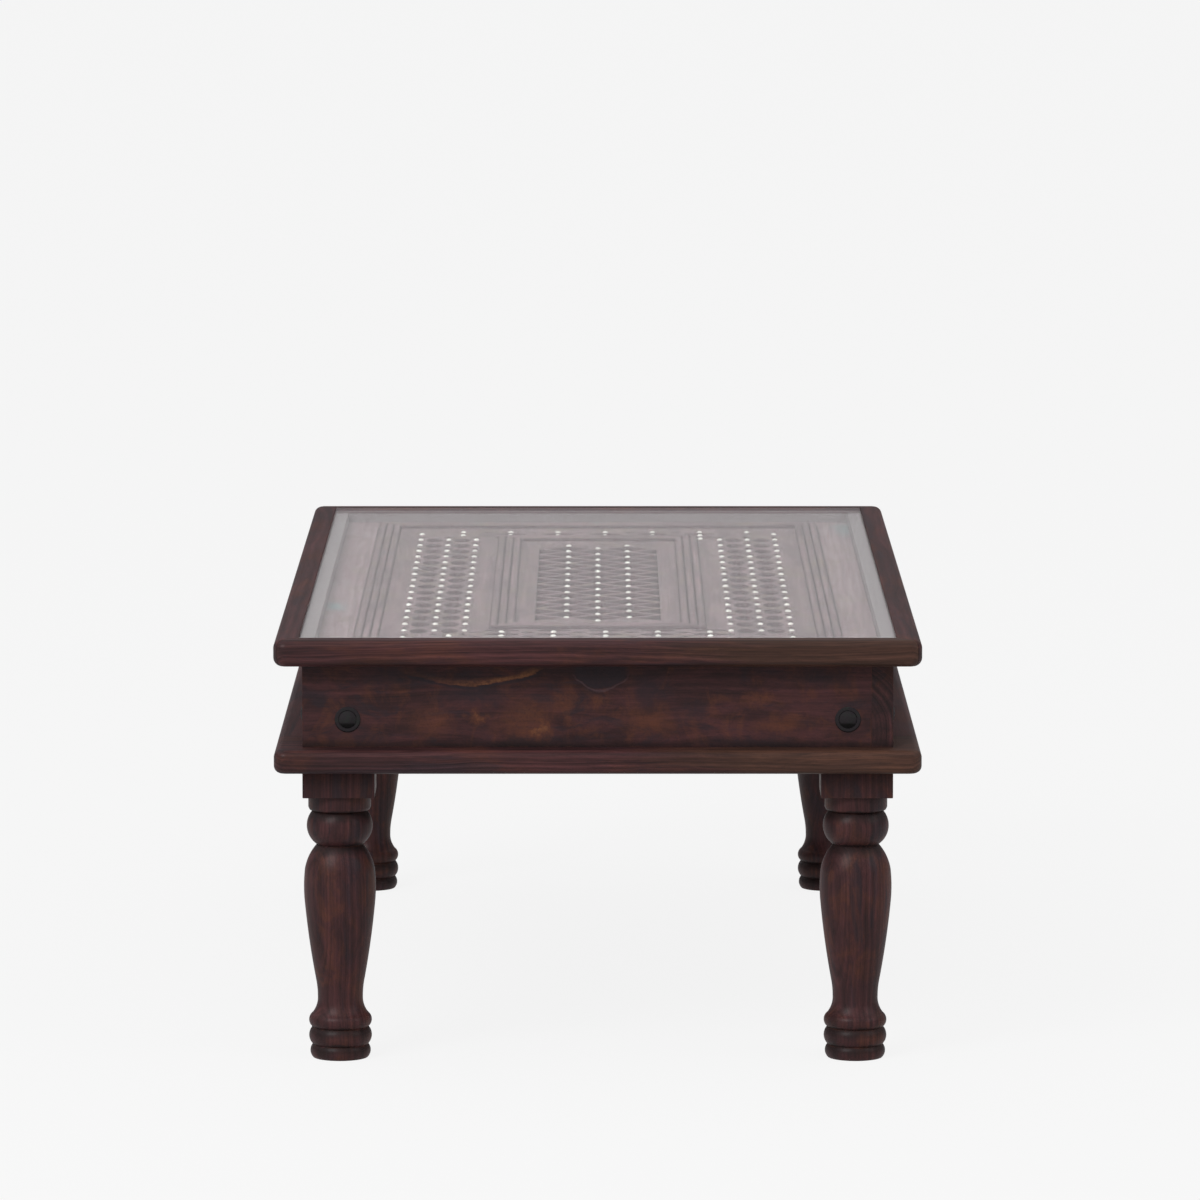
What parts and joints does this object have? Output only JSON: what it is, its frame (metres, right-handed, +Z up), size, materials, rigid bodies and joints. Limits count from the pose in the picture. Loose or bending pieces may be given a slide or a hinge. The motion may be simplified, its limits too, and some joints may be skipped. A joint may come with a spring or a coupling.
{
  "type": "low coffee table",
  "caption": "Low table with turned legs, a boxed apron between two rounded rims, and a pierced, nailed panel under a loose glass pane.",
  "frame": {"origin": "on the floor, under the middle of the table", "axes": "+Z up, +Y along the long side, away from the picture's camera, +X along the short side, to the right in the picture"},
  "size_m": [0.6, 1.1, 0.4],
  "materials": {
    "dark_wood": "dark red-brown hardwood with black streaks, satin lacquer",
    "panel_wood": "the same hardwood pierced and reeded, lacquered, a little paler",
    "plain_timber": "plain sawn timber inside the apron",
    "backing": "thin stained plywood under the pierced panel",
    "clear_glass": "clear float glass with a faint green edge",
    "black_iron": "blackened iron, semi-matt",
    "pale_nail": "bright pale metal, lightly domed",
    "steel": "zinc-plated steel"
  },
  "bodies": {
    "table": {"apron_back": "dark_wood", "apron_front": "dark_wood", "apron_left": "dark_wood", "apron_right": "dark_wood", "apron_studs": "black_iron", "backing_board": "backing", "border_back": "panel_wood", "border_front": "panel_wood", "border_left": "panel_wood", "border_right": "panel_wood", "cleat_back": "plain_timber", "cleat_front": "plain_timber", "cleat_left": "plain_timber", "cleat_right": "plain_timber", "corner_block_back_left": "plain_timber", "corner_block_back_right": "plain_timber", "corner_block_front_left": "plain_timber", "corner_block_front_right": "plain_timber", "inner_moulding_back": "panel_wood", "inner_moulding_front": "panel_wood", "inner_moulding_left": "panel_wood", "inner_moulding_right": "panel_wood", "jali_panel": "panel_wood", "leg_back_left": "dark_wood", "leg_back_right": "dark_wood", "leg_bolts": "steel", "leg_front_left": "dark_wood", "leg_front_right": "dark_wood", "leg_nuts": "steel", "leg_washers": "steel", "nails_back": "pale_nail", "nails_centre": "pale_nail", "nails_front": "pale_nail", "nails_left": "pale_nail", "nails_right": "pale_nail", "outer_moulding_back": "panel_wood", "outer_moulding_front": "panel_wood", "outer_moulding_left": "panel_wood", "outer_moulding_right": "panel_wood", "rim_back": "dark_wood", "rim_front": "dark_wood", "rim_left": "dark_wood", "rim_right": "dark_wood", "top_rail_back": "dark_wood", "top_rail_front": "dark_wood", "top_rail_left": "dark_wood", "top_rail_right": "dark_wood"},
    "glass": {"glass_pane": "clear_glass"}
  },
  "joints": [
    {"name": "glass_lift", "type": "slide", "parent": "table", "child": "glass", "axis": [0, 0, 1], "range_m": [0, 0.06]}
  ]
}
